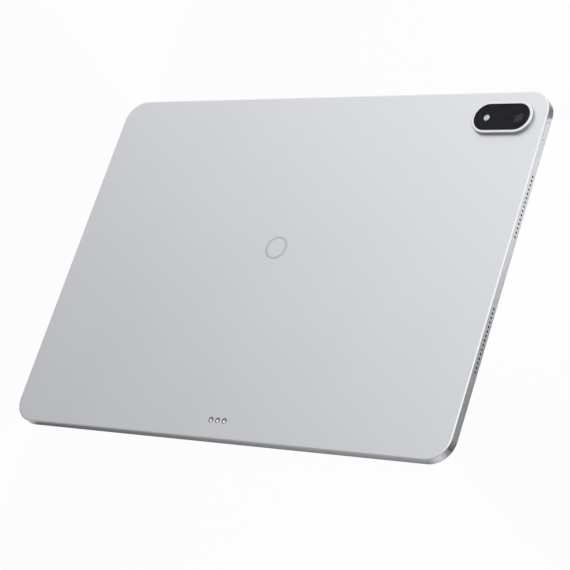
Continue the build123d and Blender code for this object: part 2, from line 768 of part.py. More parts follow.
with BuildPart() as usb_seal:
    seal_reach = (-frame_width + 0.4, -0.3)
    wall_pill(left_wall, usb_spot, *seal_size, seal_reach)
    hole = (usb_outer[0] + 0.02, usb_outer[1] + 0.02)
    wall_pill(left_wall, usb_spot, *hole, (seal_reach[0] - 1, seal_reach[1] + 1), Mode.SUBTRACT)
save(usb_seal, "usb_seal")

# The socket's board, and the flat cable that runs round the battery to the main board.
cable_x = (speaker_inner - 0.4 - cable_width, speaker_inner - 0.4)
cable_y = (board_bottom - 3.2 - cable_width, board_bottom - 3.2)
with BuildPart() as usb_board:
    block(usb_board_x, (-usb_board_half, usb_board_half), usb_board_z)
    for spot in usb_screws:
        disc(spot, screw_hole, (usb_board_z[0] - 1, usb_board_z[1] + 1), Mode.SUBTRACT)
    block((usb_board_x[1] - 6.0, usb_board_x[1] - 0.5), span(0, 4.0), (cable_z[1], usb_board_z[0]))
    block((usb_board_x[1] - 6.0, -cable_x[0]), span(0, cable_width), cable_z)
    block((-cable_x[1], -cable_x[0]), (cable_y[0], 0), cable_z)
    block((-cable_x[1], link_plug[0] + 1.8), cable_y, cable_z)
    block(span(link_plug[0], 3.6), (cable_y[0], link_plug[1] + 2.0), cable_z)
save(usb_board, "usb_board")

# ---- Rear camera, its bracket and the flash -----------------------------------------------------------
sensor_board_z = (display_back + 0.3, display_back + 0.7)
housing_top = gasket_back - 0.85
barrel_z = (housing_top - 2.8, housing_top + 0.45)
camera_x = span(lens[0], camera_size)
camera_y = span(lens[1], camera_size)
with BuildPart() as camera_housing:
    block(camera_x, camera_y, (sensor_board_z[1], housing_top))
    block(span(lens[0], 7.0), span(lens[1], 7.0), (sensor_board_z[1] - 1, barrel_z[0] - 0.1), Mode.SUBTRACT)
    disc(lens, barrel_diameter + 0.4, (sensor_board_z[1], housing_top + 1), Mode.SUBTRACT)
save(camera_housing, "camera_housing")

with BuildPart() as camera_barrel:
    disc(lens, barrel_diameter, barrel_z)
    chamfer(camera_barrel.edges().group_by(Axis.Z)[-1], 0.15)
    disc(lens, 3.6, (barrel_z[0] - 1, barrel_z[1] + 1), Mode.SUBTRACT)
    disc(lens, lens_glass_diameter + 2 * fit_gap, (barrel_z[1] - 0.9, barrel_z[1] + 1), Mode.SUBTRACT)
save(camera_barrel, "camera_barrel")

with BuildPart() as camera_lens_glass:
    disc(lens, lens_glass_diameter, (barrel_z[1] - 0.9, barrel_z[1] - 0.3))
    fillet(camera_lens_glass.edges().group_by(Axis.Z)[-1], 0.35)
save(camera_lens_glass, "camera_lens_glass")

with BuildPart() as camera_sensor_board:
    block(camera_x, camera_y, sensor_board_z)
    block(span(lens[0], 6.2), span(lens[1], 5.0), (sensor_board_z[1], sensor_board_z[1] + 0.3))
save(camera_sensor_board, "camera_sensor_board")

bracket_front = flange_back - 0.45 - 0.25
flash_board_back = gasket_back - 1.25
with BuildPart() as camera_bracket:
    pill(
        camera,
        bezel_length + bezel_flange,
        bezel_width + bezel_flange,
        (bracket_front, flange_back - 0.45),
    )
    hole_x = span(lens[0], camera_size + 2 * fit_gap)
    hole_y = span(lens[1], camera_size + 2 * fit_gap)
    block(hole_x, hole_y, (bracket_front - 1, cavity_top), Mode.SUBTRACT)
    block(span(flash[0], 5.0), span(flash[1], 5.0), (bracket_front, flash_board_back - 0.4))
save(camera_bracket, "camera_bracket")

with BuildPart() as flash_led:
    block(span(flash[0], 4.6), span(flash[1], 4.6), (flash_board_back - 0.4, flash_board_back))
    block(span(flash[0], 1.8), span(flash[1], 1.8), (flash_board_back, flash_board_back + 0.4))
save(flash_led, "flash_led")

with BuildPart() as flash_lens:
    disc(flash, 5.0, (gasket_back - 0.55, gasket_back))
    disc(flash, flash_diameter, (gasket_back, window_back - 0.02))
save(flash_lens, "flash_lens")

# ---- Front camera ------------------------------------------------------------------------------------
front_camera_spot = (front_camera_x, front_camera_y)
with BuildPart() as front_camera:
    camera_foot = (ledge_height + 0.5, cavity_top - 0.9)
    block(span(front_camera_x, front_camera_size), span(front_camera_y, front_camera_size), camera_foot)
    disc(front_camera_spot, camera_hole - 0.2, (mask_z[1] + 0.2, camera_foot[0]))
    disc(front_camera_spot, 1.4, (mask_z[1], mask_z[1] + 0.6), Mode.SUBTRACT)
save(front_camera, "front_camera")

# ---- Flat flexible circuits ---------------------------------------------------------------------------
upper_run_y = (frame_y - 8.25, frame_y - 5.25)
dock_flex_z = (board_front - 0.4, board_front - 0.3)
mic_y = (wall_y - 0.3 - mic_size[1], wall_y - 0.3)
pen_y = (frame_y + 0.3, wall_y - 0.1)
with BuildPart() as flex_circuits:
    # Along the top side: microphones, pen coil, front camera and light sensor.
    upper_run_x = (mic_spots[1] - 1.0, upper_plug[0] + 1.8)
    block(upper_run_x, upper_run_y, cable_z)
    block(span(upper_plug[0], 3.6), (upper_plug[1] - 1.5, upper_run_y[1]), cable_z)
    for spot in mic_spots:
        block(span(spot, 2.0), (upper_run_y[0], mic_y[0]), cable_z)
    block(span(pen_centre, 2.0), (upper_run_y[0], pen_y[0]), cable_z)
    block(span(front_camera_x, 3.0), (upper_run_y[0], front_camera_y - front_camera_size / 2), cable_z)
    block(span(light_sensor[0], 1.6), (upper_run_y[0], light_sensor[1] + 0.8), cable_z)
    block(span(light_sensor[0], 1.6), span(light_sensor[1], 1.6), (mask_z[1] + 0.3, cable_z[1]))
    # Rear camera and flash.
    block(span(lens[0], 6.0), (camera_y[0] - 4.0, camera_y[0]), (sensor_board_z[0], sensor_board_z[1]))
    camera_ramp = [(camera_y[0] - 4.0, sensor_board_z[0] + 0.2), (camera_y[0] - 10.0, cable_level)]
    ribbon(Plane.YZ.offset(lens[0] - 3.0), camera_ramp, flex_sheet, 6.0)
    block(span(lens[0], 6.0), (camera_plug[1] - 2.0, camera_y[0] - 9.9), cable_z)
    block((camera_plug[0] - 2.0, lens[0] - 2.0), span(camera_plug[1], 4.0), cable_z)
    block(span(flash[0], 2.4), (camera_y[0] - 5.0, flash[1] + 2.0), (bracket_front - 0.1, bracket_front))
    flash_ramp = [(camera_y[0] - 4.5, bracket_front - 0.05), (board_top - 2.0, cable_level)]
    ribbon(Plane.YZ.offset(flash[0] - 1.2), flash_ramp, flex_sheet, 2.4)
    block(span(flash[0], 2.4), (flash_plug[1] - 1.4, board_top - 1.9), cable_z)
    block((flash_plug[0] - 1.4, flash[0]), span(flash_plug[1], 2.8), cable_z)
    for spot in mic_spots:
        block(span(spot, mic_size[0]), mic_y, mic_z)
    # Dock contacts.
    block((-contact_pitch - 2.0, dock_plug[0] + 1.4), span(contacts_y, 2.6), dock_flex_z)
    block(span(dock_plug[0], 2.8), (contacts_y - 1.3, dock_plug[1] + 1.4), dock_flex_z)
save(flex_circuits, "flex_circuits")

# ---- Four speakers -------------------------------------------------------------------------------------
box_wall = 0.4
partition_z = (speaker_front + 1.2, speaker_front + 1.6)
driver_x = (speaker_inner + speaker_outer) / 2
diaphragm_z = (partition_z[1] - diaphragm_thickness, partition_z[1])
motor_z = (partition_z[1] + 0.45, speaker_back - box_wall)
nozzle_mouth = (2 * nozzle_half - 2 * nozzle_wall, nozzle_height - 2 * nozzle_wall)
speakers = {
    "right_upper": (1, 1),
    "right_lower": (1, -1),
    "left_upper": (-1, 1),
    "left_lower": (-1, -1),
}


def racetrack(centre, size, z, mode=Mode.ADD):
    """A plate with round ends, lying along Y."""
    with BuildSketch(Plane.XY.offset(z[0])) as outline:
        with Locations(centre):
            SlotOverall(size[0], size[1], rotation=90)
    extrude(outline.sketch, amount=z[1] - z[0], mode=mode)


for place, (end, side) in speakers.items():
    middle = side * grille_centre
    waist = speaker_length - 2 * lug_size - 0.4
    with BuildPart() as speaker_box:
        block(
            mirrored(end, speaker_inner + lug_size + 0.2, speaker_outer),
            span(middle, speaker_length),
            (speaker_front, speaker_back),
        )
        block(mirrored(end, speaker_inner, driver_x), span(middle, waist), (speaker_front, speaker_back))
        block(
            mirrored(end, speaker_inner + lug_size + 0.2 + speaker_wall, speaker_outer - speaker_wall),
            span(middle, speaker_length - 2 * speaker_wall),
            (speaker_front + box_wall, speaker_back - box_wall),
            Mode.SUBTRACT,
        )
        block(
            mirrored(end, speaker_inner + speaker_wall, driver_x),
            span(middle, waist - 2 * speaker_wall),
            (speaker_front + box_wall, speaker_back - box_wall),
            Mode.SUBTRACT,
        )
        # The wall between the front and rear chambers, with the driver's opening.
        block(
            mirrored(end, speaker_inner + speaker_wall / 2, speaker_outer - speaker_wall / 2),
            span(middle, waist - speaker_wall),
            partition_z,
        )
        racetrack(
            (end * driver_x, middle),
            (driver_length, driver_depth),
            (partition_z[0] - 0.1, partition_z[1] + 0.1),
            Mode.SUBTRACT,
        )
        for step in (-1, 1):
            spot = (end * lug_x, middle + step * lug_reach)
            block(
                mirrored(end, speaker_inner, speaker_inner + lug_size + 0.6),
                span(spot[1], lug_size),
                (lug_front, lug_back),
            )
            disc(spot, screw_hole, (lug_front - 1, lug_back + 1), Mode.SUBTRACT)
        # The nozzle that reaches through the inner frame to the wall's sound holes.
        nozzle_x = mirrored(end, speaker_outer - speaker_wall, flange_face)
        block(nozzle_x, span(middle, 2 * nozzle_half), nozzle_z)
        block(
            mirrored(end, speaker_outer - 2 * speaker_wall, flange_face + 1),
            span(middle, nozzle_mouth[0]),
            span(side_feature_height, nozzle_mouth[1]),
            Mode.SUBTRACT,
        )
    save(speaker_box, f"speaker_box_{place}")

    with BuildPart() as speaker_diaphragm:
        spot = (end * driver_x, middle)
        cone = (driver_length - 2 * driver_gap, driver_depth - 2 * driver_gap)
        racetrack(spot, cone, diaphragm_z)
        coil_z = (diaphragm_z[1], diaphragm_z[1] + coil_height)
        racetrack(spot, coil_size, coil_z)
        racetrack(
            spot,
            (coil_size[0] - 2 * coil_wire, coil_size[1] - 2 * coil_wire),
            (coil_z[0], coil_z[1] + 1),
            Mode.SUBTRACT,
        )
    save(speaker_diaphragm, f"speaker_diaphragm_{place}")

speaker_spots = [(end * driver_x, side * grille_centre) for end, side in speakers.values()]
with BuildPart() as speaker_surrounds:
    for spot in speaker_spots:
        surround_z = (partition_z[1], partition_z[1] + 0.1)
        racetrack(spot, (driver_length + 1.0, driver_depth + 1.0), surround_z)
        inner = (driver_length + 1.0 - 2 * surround_width, driver_depth + 1.0 - 2 * surround_width)
        racetrack(spot, inner, (surround_z[0] - 1, surround_z[1] + 1), Mode.SUBTRACT)
save(speaker_surrounds, "speaker_surrounds")

with BuildPart() as speaker_magnets:
    for spot in speaker_spots:
        racetrack(spot, yoke_size, motor_z)
        gap_outer = (coil_size[0] + 0.8, coil_size[1] + 0.8)
        racetrack(spot, gap_outer, (motor_z[0] - 1, motor_z[1] + 1), Mode.SUBTRACT)
        core = (coil_size[0] - 2 * coil_wire - 0.6, coil_size[1] - 2 * coil_wire - 0.6)
        racetrack(spot, core, motor_z)
save(speaker_magnets, "speaker_magnets")

with BuildPart() as speaker_meshes:
    for end, side in speakers.values():
        block(
            mirrored(end, flange_face - 0.25, flange_face - 0.05),
            span(side * grille_centre, nozzle_mouth[0] - 0.04),
            span(side_feature_height, nozzle_mouth[1] - 0.04),
        )
save(speaker_meshes, "speaker_meshes")

# ---- Power key, volume key and what lies behind them ----------------------------------------------------
nub_tip = fit_gap + key_flange + key_nub  # distances inwards from the wall's inner face
dome_face = nub_tip + dome_gap
switch_face = dome_face + dome_height
switch_back = switch_face + switch_size[2]
flex_back = switch_back + flex_sheet
power_spot = (power_key_y, side_feature_height)
volume_spot = (-volume_key_x, side_feature_height)
volume_switches = [
    (-(volume_key_x + step * volume_switch_spacing / 2), side_feature_height) for step in (-1, 1)
]
flange_height = key_height + 2 * key_flange_rise

with BuildPart() as power_key:
    wall_pill(right_wall, power_spot, power_key_length, key_height, (-fit_gap, side_wall + key_proud))
    fillet(power_key.edges().group_by(Axis.X)[-1], 0.25)
    flange_length = power_key_length + 2 * key_flange_overhang
    wall_pill(right_wall, power_spot, flange_length, flange_height, (-fit_gap - key_flange, -fit_gap))
    wall_pill(right_wall, power_spot, 1.8, 1.4, (-nub_tip, -fit_gap))
save(power_key, "power_key")

with BuildPart() as volume_key:
    key_reach = (-volume_flange_set_back, side_wall + key_proud)
    wall_pill(top_wall, volume_spot, volume_key_length, key_height, key_reach)
    fillet(volume_key.edges().group_by(Axis.Y)[-1], 0.25)
    flange_length = volume_key_length + 2 * key_flange_overhang
    flange_reach = (-volume_flange_set_back - key_flange, -volume_flange_set_back)
    wall_pill(top_wall, volume_spot, flange_length, flange_height, flange_reach)
    for spot in volume_switches:
        wall_pill(top_wall, spot, 1.8, 1.4, (-nub_tip, -volume_flange_set_back))
    # The half-round bar that the key rocks on.
    bar = (volume_key_x, wall_y - volume_flange_set_back)
    disc(bar, 2 * (volume_flange_set_back - fit_gap), span(side_feature_height, flange_height))
save(volume_key, "volume_key")


def wall_box(wall, centre, length, height, reach, mode=Mode.ADD):
    """A rectangular block drawn on a side wall, between two distances from the wall's inner face."""
    with BuildSketch(wall.offset(reach[0])) as outline:
        with Locations(centre):
            Rectangle(length, height)
    extrude(outline.sketch, amount=reach[1] - reach[0], mode=mode)


with BuildPart() as key_switches:
    wall_box(right_wall, power_spot, switch_size[0], switch_size[1], (-switch_back, -switch_face))
    for spot in volume_switches:
        wall_box(top_wall, spot, switch_size[0], switch_size[1], (-switch_back, -switch_face))
save(key_switches, "key_switches")

with BuildPart() as power_switch_dome:
    with BuildSketch(right_wall.offset(-switch_face)):
        with Locations(power_spot):
            Circle(dome_diameter / 2)
    extrude(amount=dome_height)
save(power_switch_dome, "power_switch_dome")

with BuildPart() as volume_switch_domes:
    with BuildSketch(top_wall.offset(-switch_face)):
        with Locations(*volume_switches):
            Circle(dome_diameter / 2)
    extrude(amount=dome_height)
save(volume_switch_domes, "volume_switch_domes")

slot_width = 1.6
power_slot = power_pocket[0] + 1.0
volume_slot = volume_pocket[0] + 1.0
flex_line = (switch_back + flex_back) / 2
with BuildPart() as key_flex:
    power_path = [
        (wall_x - flex_line, power_pocket[1] - 1.5),
        (wall_x - flex_line, power_slot + 0.9),
        (frame_x - 0.9, power_slot - 0.6),
        (frame_x - 0.9, power_plug[1]),
        (power_plug[0] + 1.5, power_plug[1]),
    ]
    ribbon(Plane.XY.offset(key_flex_z[0]), power_path, flex_sheet, 1.6)
    volume_path = [
        (volume_pocket[1] - 3.0, wall_y - flex_line),
        (volume_slot + 0.9, wall_y - flex_line),
        (volume_slot - 0.6, frame_y - 0.9),
        (volume_slot - 0.6, board_top + 4.0),
        (volume_plug[0], board_top - 2.0),
        (volume_plug[0], volume_plug[1] + 1.3),
    ]
    ribbon(Plane.XY.offset(key_flex_z[0]), volume_path, flex_sheet, 1.6)
save(key_flex, "key_flex")

with BuildPart() as key_brackets:
    plate_reach = (-frame_width - bracket_sheet, -frame_width)
    pad_reach = (-frame_width, -flex_back)
    for wall, centre, length, slot in (
        (right_wall, power_key_y, power_pocket[1] - power_pocket[0], power_slot),
        (top_wall, -volume_key_x, volume_pocket[1] - volume_pocket[0], -volume_slot),
    ):
        wall_box(wall, (centre, side_feature_height), length + 3.0, switch_size[1], plate_reach)
        wall_box(wall, (centre, side_feature_height), length - 6.5, switch_size[1], pad_reach)
        slot_reach = (plate_reach[0] - 0.5, pad_reach[1] + 0.5)
        wall_box(wall, (slot, side_feature_height), slot_width, 1.9, slot_reach, Mode.SUBTRACT)
save(key_brackets, "key_brackets")

# ---- Dock contacts, magnets and the pen's charging coil -------------------------------------------------
holder_z = (board_front, cavity_top - fit_gap)
with BuildPart() as dock_contact_holder:
    plate(span(0, 2 * contact_pitch + 9.0), span(contacts_y, 6.0), holder_z, 1.5)
    for spot in contact_spots:
        disc(spot, collar_diameter, (holder_z[0], body_thickness - 0.03))
        disc(spot, contact_diameter + 0.04, (holder_z[0] - 1, body_thickness + 1), Mode.SUBTRACT)
save(dock_contact_holder, "dock_contact_holder")

with BuildPart() as dock_contacts:
    for spot in contact_spots:
        disc(spot, contact_diameter, (holder_z[0] - 0.3, body_thickness - contact_recess))
        disc(spot, contact_diameter + 0.8, (holder_z[0] - 0.3, holder_z[0]))
save(dock_contacts, "dock_contacts")

with BuildPart() as magnets:
    for spot in dock_magnet_spots:
        block(span(spot, 12.0), span(contacts_y + 7.5, 5.0), (cavity_top - 1.4, cavity_top))
    for spot in magnet_spots:
        magnet_y = (wall_y - magnet_size[1], wall_y - 0.05)
        block(span(spot, magnet_size[0]), magnet_y, span(side_feature_height, magnet_size[2]))
save(magnets, "magnets")

with BuildPart() as pen_charging_coil:
    core_z = (pen_pocket_z[0] + 0.1, pen_pocket_z[1] - 0.1)
    block(span(pen_centre, pen_length), (pen_y[0], pen_y[0] + 0.6), core_z)
    for step in (-1, 1):
        arm = pen_centre + step * (pen_length / 2 - 1.0)
        block(span(arm, 2.0), pen_y, core_z)
    winding_z = (core_z[0] + 0.3, core_z[1] - 0.3)
    block(span(pen_centre, pen_length - 6.0), (pen_y[0] + 0.6, pen_y[1] - 0.3), winding_z)
save(pen_charging_coil, "pen_charging_coil")

# ---- Antennas, on the frame's inner faces, with their leads ---------------------------------------------
antenna_z = (display_back + 0.2, cavity_top - 0.3)
lead_z = display_back + 0.5
lead_path_low = [
    (-frame_x + 0.35, board_bottom - 4.15),
    (-frame_x + 6.0, board_bottom - 9.0),
    (board_left - 0.7, board_bottom - 9.0),
    (board_left - 0.7, board_bottom + 14.5),
    (board_left + 1.5, board_bottom + 14.5),
]
lead_path_high = [
    (-frame_x + 0.15, board_top + 2.95),
    (board_left - 0.7, board_top + 2.95),
    (board_left - 0.7, board_top - 20.5),
    (board_left + 1.5, board_top - 20.5),
]
lead_path_right = [
    (frame_x - 0.15, board_bottom - 4.15),
    (board_right + 0.8, board_bottom - 4.15),
    (board_right + 0.8, board_bottom + 14.0),
    (board_right - 1.5, board_bottom + 14.0),
]
with BuildPart() as antennas:
    for end, side in ((-1, 1), (-1, -1), (1, -1)):
        antenna_y = mirrored(side, half_width - 38.85, half_width - 12.85)
        block(mirrored(end, frame_x - 0.05 - antenna_sheet, frame_x - 0.05), antenna_y, antenna_z)
    for path in (lead_path_low, lead_path_high, lead_path_right):
        ribbon(Plane.XY.offset(lead_z), path, coax_diameter, coax_diameter)
save(antennas, "antennas")
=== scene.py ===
"""A tablet computer on its screen: its finishes, its smallest parts and the studio round it."""

import math

import bmesh
import bpy
from mathutils import Matrix, Vector


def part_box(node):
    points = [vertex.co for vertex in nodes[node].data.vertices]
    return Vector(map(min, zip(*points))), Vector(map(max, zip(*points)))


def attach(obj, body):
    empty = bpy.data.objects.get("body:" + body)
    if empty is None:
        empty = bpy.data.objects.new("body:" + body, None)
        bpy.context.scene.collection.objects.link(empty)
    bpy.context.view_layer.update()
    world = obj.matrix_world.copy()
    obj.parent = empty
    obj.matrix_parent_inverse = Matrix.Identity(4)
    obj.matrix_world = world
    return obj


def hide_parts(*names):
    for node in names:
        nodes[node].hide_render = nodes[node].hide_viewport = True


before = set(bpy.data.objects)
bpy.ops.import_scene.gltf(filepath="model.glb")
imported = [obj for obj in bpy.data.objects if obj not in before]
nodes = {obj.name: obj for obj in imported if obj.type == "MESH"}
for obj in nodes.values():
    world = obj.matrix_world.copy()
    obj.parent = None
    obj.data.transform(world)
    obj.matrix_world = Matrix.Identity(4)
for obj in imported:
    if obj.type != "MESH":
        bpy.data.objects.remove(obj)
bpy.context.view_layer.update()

MM = 0.001
WHITE = (1.0, 1.0, 1.0)

# How fine each kind of noise is, in patches to a metre.
BLAST_GRAIN = 5200.0
SHEET_CLOUD = 16.0


# ---- Arithmetic on what varies over a surface ------------------------------------------------
class Signal:
    """A number that varies over a surface, for use in ordinary arithmetic."""

    def __init__(self, tree, socket):
        self.tree = tree
        self.socket = socket

    def math(self, operation, *values):
        node = self.tree.nodes.new("ShaderNodeMath")
        node.operation = operation
        for slot, value in zip(node.inputs, values):
            if isinstance(value, Signal):
                self.tree.links.new(value.socket, slot)
            else:
                slot.default_value = value
        return Signal(self.tree, node.outputs[0])

    def __add__(self, other):
        return self.math("ADD", self, other)

    def __radd__(self, other):
        return self.math("ADD", other, self)

    def __sub__(self, other):
        return self.math("SUBTRACT", self, other)

    def __rsub__(self, other):
        return self.math("SUBTRACT", other, self)

    def __mul__(self, other):
        return self.math("MULTIPLY", self, other)

    def __truediv__(self, other):
        return self.math("DIVIDE", self, other)

    def __pow__(self, other):
        return self.math("POWER", self, other)

    def __mod__(self, other):
        return self.math("FLOORED_MODULO", self, other)

    def __abs__(self):
        return self.math("ABSOLUTE", self)

    def at_least(self, lowest):
        return self.math("MAXIMUM", self, lowest)

    def at_most(self, highest):
        return self.math("MINIMUM", self, highest)

    def __gt__(self, other):
        return self.math("GREATER_THAN", self, other)

    def __lt__(self, other):
        return self.math("LESS_THAN", self, other)


class Finish:
    """A material with one surface shader, and one method that adds any node to it."""

    def __init__(self, name, **surface):
        self.material = bpy.data.materials.new(name)
        self.material.use_nodes = True
        self.tree = self.material.node_tree
        self.shader = self.tree.nodes["Principled BSDF"]
        for socket, value in surface.items():
            self.shader.inputs[socket.replace("_", " ")].default_value = value
        self.place = self.node("ShaderNodeTexCoord", output="Object")
        axes = self.node("ShaderNodeSeparateXYZ", sockets={"Vector": self.place}).socket.node
        self.x, self.y, self.z = (Signal(self.tree, axes.outputs[axis]) for axis in "XYZ")

    def node(self, kind, settings=None, sockets=None, output=0):
        """Adds a node: its settings first, then the values or links of its sockets."""
        node = self.tree.nodes.new(kind)
        for name, value in (settings or {}).items():
            if name == "stops":
                ramp = node.color_ramp.elements
                while len(ramp) < len(value):
                    ramp.new(1.0)
                for element, (position, colour) in zip(ramp, value):
                    element.position = position
                    element.color = (*colour, 1.0)
            else:
                setattr(node, name, value)
        for name, value in (sockets or {}).items():
            if isinstance(value, Signal):
                self.tree.links.new(value.socket, node.inputs[name])
            elif isinstance(value, tuple) and len(value) == 3 and node.inputs[name].type == "RGBA":
                node.inputs[name].default_value = (*value, 1.0)
            else:
                node.inputs[name].default_value = value
        return Signal(self.tree, node.outputs[output])

    def noise(self, scale, detail=2.0, stretch=(1.0, 1.0, 1.0)):
        """Cloudy noise from about 0 to 1, with so many patches to a metre."""
        scales = tuple(scale * share for share in stretch)
        place = self.node("ShaderNodeMapping", sockets={"Vector": self.place, "Scale": scales})
        sockets = {"Vector": place, "Scale": 1.0, "Detail": detail}
        return self.node("ShaderNodeTexNoise", sockets=sockets)

    def ramp(self, signal, *stops):
        """A colour picked from a row of stops."""
        return self.node("ShaderNodeValToRGB", {"stops": stops}, {"Fac": signal}, "Color")

    def blend(self, signal, first, second):
        """A colour that goes from the first to the second as the signal goes from 0 to 1."""
        mix = self.tree.nodes.new("ShaderNodeMix")
        mix.data_type = "RGBA"
        # A mix node has sockets of every kind: 0 is its factor, and 6, 7 and, out, 2 its colours.
        self.tree.links.new(signal.socket, mix.inputs[0])
        for slot, colour in ((mix.inputs[6], first), (mix.inputs[7], second)):
            if isinstance(colour, Signal):
                self.tree.links.new(colour.socket, slot)
            else:
                slot.default_value = (*colour, 1.0)
        return Signal(self.tree, mix.outputs[2])

    def mix_shaders(self, share, first, second):
        """The first shader where the share is 0, the second where it is 1."""
        mix = self.tree.nodes.new("ShaderNodeMixShader")
        for slot, socket in zip(mix.inputs, (share.socket, first, second)):
            self.tree.links.new(socket, slot)
        return mix.outputs[0]

    def surface(self, shader):
        """Puts a shader on the surface in place of the material's own."""
        self.tree.links.new(shader, self.tree.nodes["Material Output"].inputs["Surface"])
        return self.material

    def step(self, signal, low, high):
        """0 below low, 1 above high, and smooth between them."""
        return self.node(
            "ShaderNodeMapRange",
            {"interpolation_type": "SMOOTHSTEP"},
            {"Value": signal, "From Min": low, "From Max": high},
        )

    def across(self, x, y):
        """The distance from an upright axis, in metres."""
        return ((self.x - x) ** 2.0 + (self.y - y) ** 2.0) ** 0.5

    def drive(self, **signals):
        """Links signals to the surface shader's sockets."""
        for socket, signal in signals.items():
            self.tree.links.new(signal.socket, self.shader.inputs[socket.replace("_", " ")])
        return self.material

    def bump(self, height, depth, strength=1.0):
        """Small relief, as deep as depth where the height goes from 0 to 1."""
        sockets = {"Height": height, "Distance": depth, "Strength": strength}
        return self.node("ShaderNodeBump", sockets=sockets, output="Normal")


# ---- Finishes --------------------------------------------------------------------------------
def blasted_aluminium(name, dark, light, roughness):
    """Bead-blasted and anodised: fine even grain, with the faintest cloudiness over it all."""
    f = Finish(name, Metallic=1.0)
    grain = f.noise(BLAST_GRAIN, 1.0)
    cloud = f.noise(SHEET_CLOUD, 3.0)
    return f.drive(
        Base_Color=f.blend(grain * 0.65 + cloud * 0.35, dark, light),
        Roughness=roughness - 0.04 + grain * 0.05 + cloud * 0.03,
        Normal=f.bump(grain, 0.0035 * MM, 0.6),
    )


def beyond_corners(f):
    """How far a point lies past the centres of the shell's round corners, along X and along Y."""
    return (
        (abs(f.x) - (shell_high.x - shell_corner)).at_least(0.0),
        (abs(f.y) - (shell_high.y - shell_corner)).at_least(0.0),
    )


def shell_aluminium():
    """The blasted shell: its walls are smoother, and the bores through them are painted near black
    as shade.
    """
    f = Finish("housing_blasted_aluminium", Metallic=1.0)
    grain = f.noise(BLAST_GRAIN, 1.0)
    cloud = f.noise(SHEET_CLOUD, 3.0)
    beyond_x, beyond_y = beyond_corners(f)
    depth = shell_corner - (beyond_x ** 2.0 + beyond_y ** 2.0) ** 0.5
    upright = (f.z > wall_foot) * (f.z < shell_high.z - edge_round)
    wall = upright * (depth < 0.03 * MM)
    # Painted shade: the mask of the bores through the wall, where their depth would cast shadow.
    bore = upright * (depth > 0.10 * MM) * (depth < wall_depth)
    skin = f.blend(grain * 0.65 + cloud * 0.35, (0.775, 0.785, 0.805), (0.845, 0.855, 0.875))
    return f.drive(
        # Painted shade: the bores take a near-black colour in place of the blasted skin.
        Base_Color=f.blend(bore, skin, (0.05, 0.05, 0.052)),
        Roughness=0.40 + grain * 0.05 + cloud * 0.03 - wall * 0.16,
        Normal=f.bump(grain, 0.0035 * MM, 0.6),
    )


def turned_bezel():
    """The camera's collar: a satin wall painted dark grey as shade, and a lip painted pale as a
    highlight.
    """
    f = Finish("camera_collar_aluminium", Metallic=1.0)
    # Painted highlight: the top lip is coloured pale as if lit. Painted shade: the wall below is
    # coloured dark grey, with real turning marks over it.
    painted_lit_lip = f.step(f.z, bezel_top - 0.34 * MM, bezel_top - 0.26 * MM)
    grain = f.noise(BLAST_GRAIN, 1.0)
    turning = f.noise(900.0, 1.0, (1.0, 1.0, 12.0))
    wall = f.blend(turning, (0.33, 0.335, 0.345), (0.40, 0.405, 0.415))
    return f.drive(
        Base_Color=f.blend(painted_lit_lip, wall, (0.88, 0.885, 0.895)),
        Roughness=0.28 + painted_lit_lip * 0.16 + grain * 0.05,
        Normal=f.bump(grain, 0.002 * MM, 0.5),
    )


def polished_ring():
    """A mirror finish with the hairlines that polishing leaves."""
    f = Finish("emblem_polish", Metallic=1.0)
    hairline = f.noise(2600.0, 2.0, (1.0, 0.08, 1.0))
    return f.drive(
        Base_Color=f.blend(hairline, (0.60, 0.61, 0.63), (0.70, 0.71, 0.73)),
        Roughness=0.10 + hairline * 0.07,
    )


def plain_metal(name, dark, light, roughness, scale=900.0, stretch=(1.0, 1.0, 1.0)):
    """Rolled, drawn or plated metal, with its grain drawn out along one axis."""
    f = Finish(name, Metallic=1.0)
    grain = f.noise(scale, 3.0, stretch)
    return f.drive(
        Base_Color=f.blend(grain, dark, light),
        Roughness=roughness + (grain - 0.5) * 0.14,
        Normal=f.bump(grain, 0.004 * MM, 0.4),
    )


def moulded(name, dark, light, roughness, grain_size=0.25 * MM, relief=0.006 * MM):
    """Plastic or rubber from a mould with a fine spark texture."""
    f = Finish(name)
    spark = f.noise(1.0 / grain_size, 2.0)
    cloud = f.noise(60.0, 2.0)
    return f.drive(
        Base_Color=f.blend(spark * 0.5 + cloud * 0.5, dark, light),
        Roughness=roughness + (spark - 0.5) * 0.16,
        Normal=f.bump(spark, relief, 0.5),
    )


def clear_pane(name, tint, roughness, coating):
    """Thin clear glass that mirrors more at a glancing angle; a coating under 1 mirrors less."""
    f = Finish(name)
    sockets = {"Color": (0.95, 0.96, 1.0), "Roughness": roughness}
    mirror = f.node("ShaderNodeBsdfGlossy", sockets=sockets)
    through = f.node("ShaderNodeBsdfTransparent", sockets={"Color": tint})
    share = f.node("ShaderNodeFresnel", sockets={"IOR": 1.5})
    outside = 1.0 - f.node("ShaderNodeNewGeometry", output="Backfacing")
    smear = f.noise(45.0, 3.0)
    mirrored = share * outside * (coating - 0.04 + smear * 0.08)
    f.surface(f.mix_shaders(mirrored, through.socket, mirror.socket))
    f.tree.nodes.remove(f.shader)
    return f.material


def lens_coating():
    """The lens's front element: deep, with a violet and green coating towards its rim."""
    f = Finish("lens_coated_glass", IOR=1.35, Coat_Weight=0.25, Coat_Roughness=0.02)
    from_axis = f.across(lens_spot.x, lens_spot.y) / lens_radius
    return f.drive(
        Base_Color=f.ramp(
            from_axis,
            (0.0, (0.002, 0.002, 0.004)),
            (0.45, (0.002, 0.002, 0.005)),
            (0.72, (0.006, 0.003, 0.011)),
            (0.88, (0.002, 0.007, 0.006)),
            (1.0, (0.002, 0.002, 0.002)),
        ),
        Roughness=0.04 + f.noise(800.0) * 0.04,
    )


